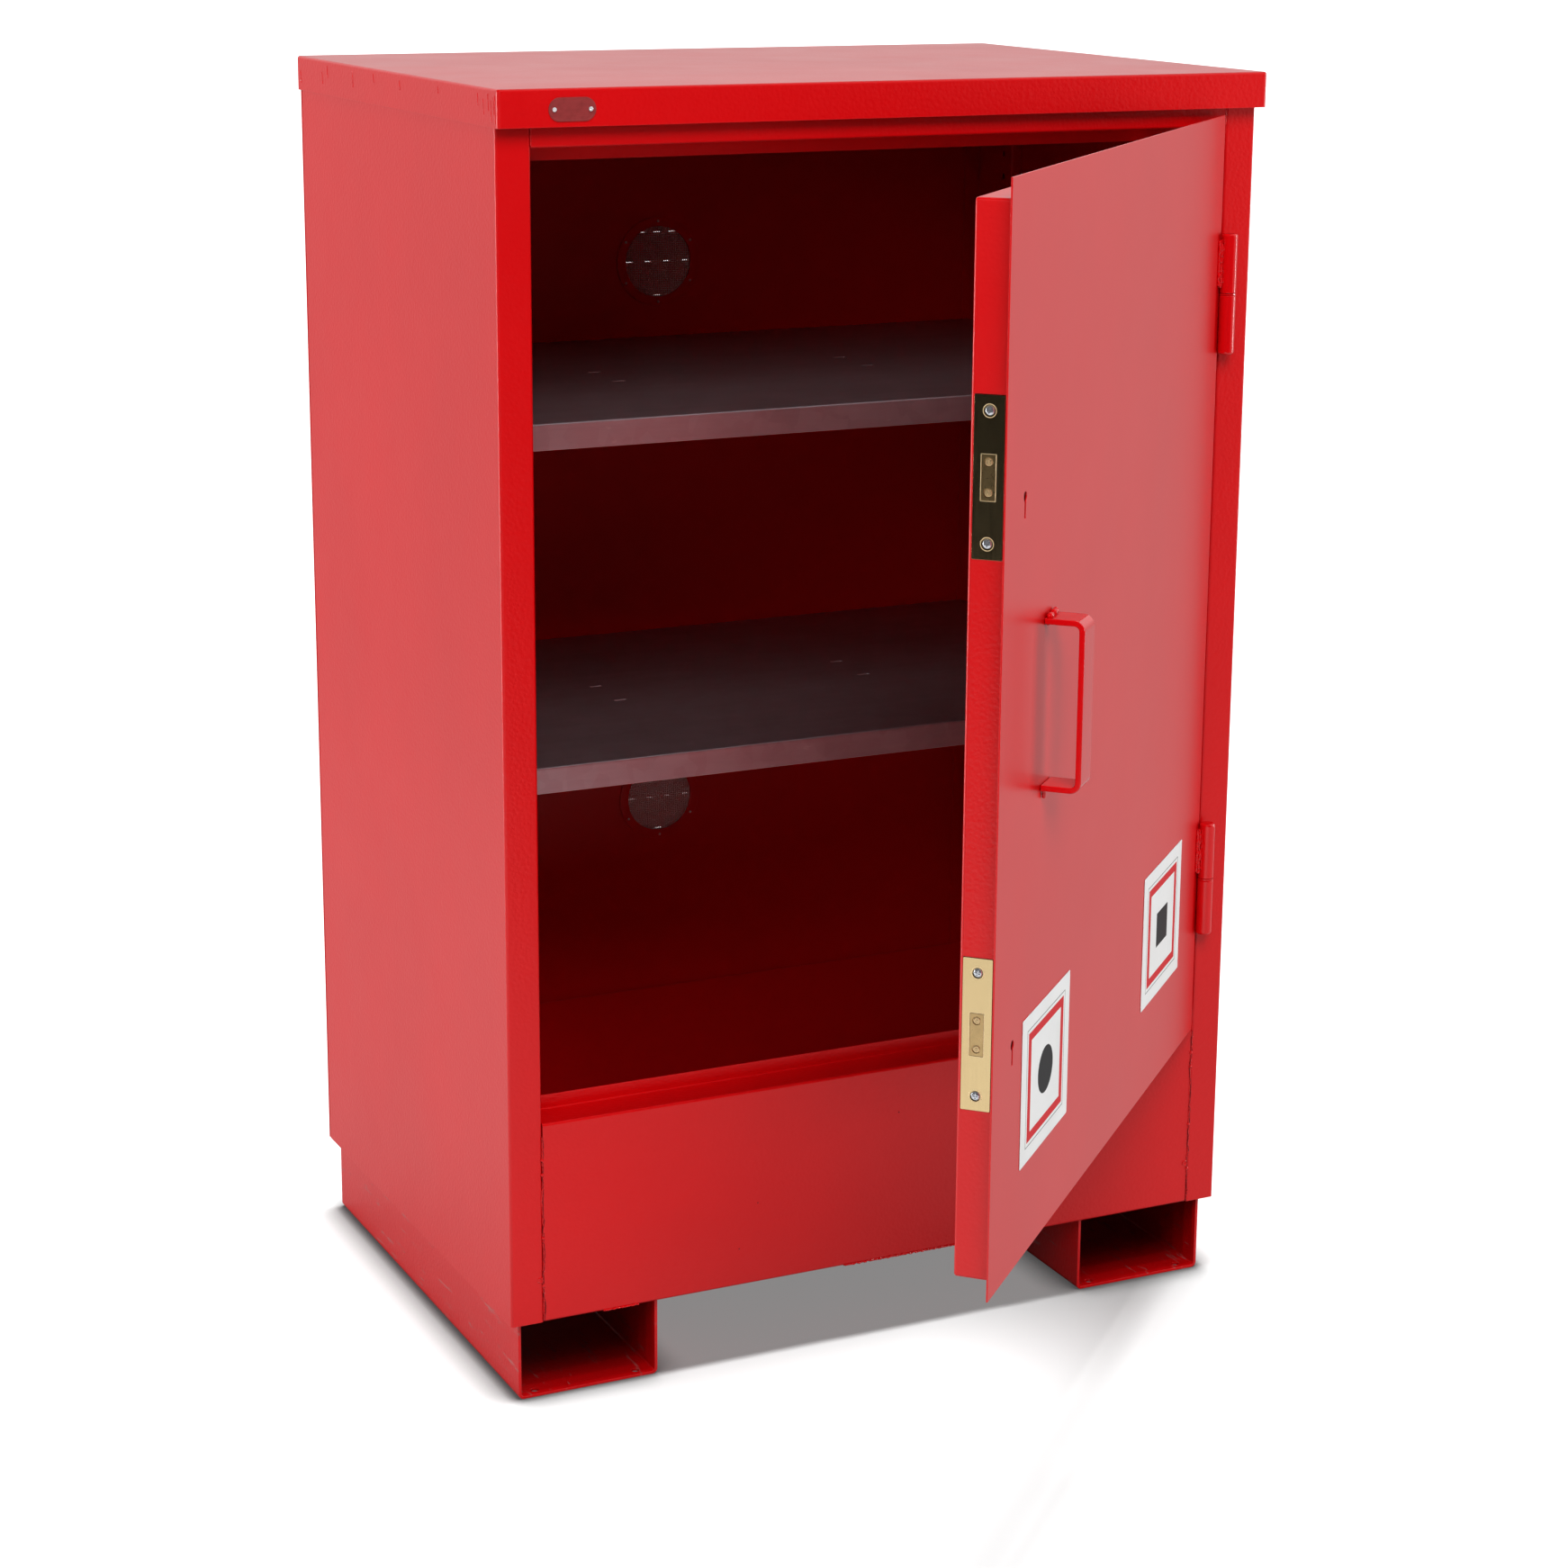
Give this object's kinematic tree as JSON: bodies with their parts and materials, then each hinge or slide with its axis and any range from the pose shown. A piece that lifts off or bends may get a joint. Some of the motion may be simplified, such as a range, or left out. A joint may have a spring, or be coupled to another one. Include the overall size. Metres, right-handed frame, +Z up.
{
  "type": "flammable storage cabinet",
  "caption": "Upright red sheet-steel cabinet for flammable liquids, with a side-hinged locking door, clip-in shelves, rear gauze vents, a spill sump and fork skids.",
  "frame": {"origin": "on the floor, under the middle of the whole object with its door standing open at rest", "axes": "+Z up; +Y from the door side towards the back panel; +X from the lock side towards the hinge side"},
  "size_m": [0.796, 1.0744, 1.25],
  "materials": {
    "red_paint": "signal red powder coat with a fine leatherette texture",
    "galvanised": "galvanised sheet, dull and slightly mottled",
    "zinc": "bright zinc plate",
    "brass": "satin brass, slightly dulled",
    "steel": "plain steel, lightly oiled",
    "gauze": "dark woven wire gauze",
    "label": null
  },
  "bodies": {
    "cabinet": {"left_side_panel": "red_paint", "right_side_panel": "red_paint", "back_panel": "red_paint", "top_cap": "red_paint", "lintel": "red_paint", "sump_front_panel": "red_paint", "sump_tray": "red_paint", "left_skid": "red_paint", "right_skid": "red_paint", "left_front_upright": "red_paint", "left_rear_upright": "red_paint", "right_front_upright": "red_paint", "right_rear_upright": "red_paint", "lower_vent_ring": "red_paint", "lower_vent_cover": "red_paint", "upper_vent_ring": "red_paint", "upper_vent_cover": "red_paint", "lower_hinge_jamb_knuckle": "red_paint", "upper_hinge_jamb_knuckle": "red_paint", "lower_shelf": "galvanised", "upper_shelf": "galvanised", "lower_shelf_left_front_clip": "zinc", "upper_shelf_left_front_clip": "zinc", "lower_shelf_left_rear_clip": "zinc", "upper_shelf_left_rear_clip": "zinc", "lower_shelf_right_front_clip": "zinc", "upper_shelf_right_front_clip": "zinc", "lower_shelf_right_rear_clip": "zinc", "upper_shelf_right_rear_clip": "zinc", "id_plate": "zinc", "id_plate_left_rivet": "zinc", "id_plate_right_rivet": "zinc", "lower_hinge_washer": "brass", "upper_hinge_washer": "brass", "lower_hinge_pin": "steel", "upper_hinge_pin": "steel", "lower_vent_gauze": "gauze", "upper_vent_gauze": "gauze"},
    "door": {"door_outer_sheet": "red_paint", "door_inner_pan": "red_paint", "door_handle": "red_paint", "free_side_label": "label", "hinge_side_label": "label", "lower_hinge_door_knuckle": "red_paint", "upper_hinge_door_knuckle": "red_paint", "lower_lock_faceplate": "brass", "lower_lock_case": "steel", "lower_lock_top_screw": "zinc", "lower_lock_bottom_screw": "zinc", "upper_lock_faceplate": "brass", "upper_lock_case": "steel", "upper_lock_top_screw": "zinc", "upper_lock_bottom_screw": "zinc"},
    "lower_bolt": {"lower_lock_bolt": "brass"},
    "lower_levers": {"lower_lock_levers": "brass"},
    "lower_key_curtain": {"lower_lock_key_curtain": "steel"},
    "upper_bolt": {"upper_lock_bolt": "brass"},
    "upper_levers": {"upper_lock_levers": "brass"},
    "upper_key_curtain": {"upper_lock_key_curtain": "steel"}
  },
  "joints": [
    {"name": "door_hinge", "type": "hinge", "parent": "cabinet", "child": "door", "pos_m": [0.364, -0.0282, 0.74], "axis": [0, 0, 1], "range_deg": [-44.4, 135.6]},
    {"name": "lower_bolt_slide", "type": "slide", "parent": "door", "child": "lower_bolt", "axis": [-0.7145, -0.6997, 0], "range_m": [0, 0.02]},
    {"name": "lower_curtain_turn", "type": "hinge", "parent": "door", "child": "lower_key_curtain", "pos_m": [-0.13988, -0.48412, 0.4795], "axis": [0.6997, -0.7145, 0], "range_deg": [0, 360]},
    {"name": "lower_lever_lift", "type": "hinge", "parent": "door", "child": "lower_levers", "pos_m": [-0.12702, -0.47153, 0.523], "axis": [-0.6997, 0.7145, 0], "range_deg": [0, 10]},
    {"name": "upper_bolt_slide", "type": "slide", "parent": "door", "child": "upper_bolt", "axis": [-0.7145, -0.6997, 0], "range_m": [0, 0.02]},
    {"name": "upper_curtain_turn", "type": "hinge", "parent": "door", "child": "upper_key_curtain", "pos_m": [-0.13988, -0.48412, 0.9455], "axis": [0.6997, -0.7145, 0], "range_deg": [0, 360]},
    {"name": "upper_lever_lift", "type": "hinge", "parent": "door", "child": "upper_levers", "pos_m": [-0.12702, -0.47153, 0.989], "axis": [-0.6997, 0.7145, 0], "range_deg": [0, 10]}
  ],
  "couplings": [
    {"joint": "lower_curtain_turn", "follows": "lower_bolt_slide", "rad_per_m": 314.16},
    {"joint": "lower_lever_lift", "follows": "lower_bolt_slide", "rad_per_m": 8.726},
    {"joint": "upper_curtain_turn", "follows": "upper_bolt_slide", "rad_per_m": 314.16},
    {"joint": "upper_lever_lift", "follows": "upper_bolt_slide", "rad_per_m": 8.726}
  ]
}
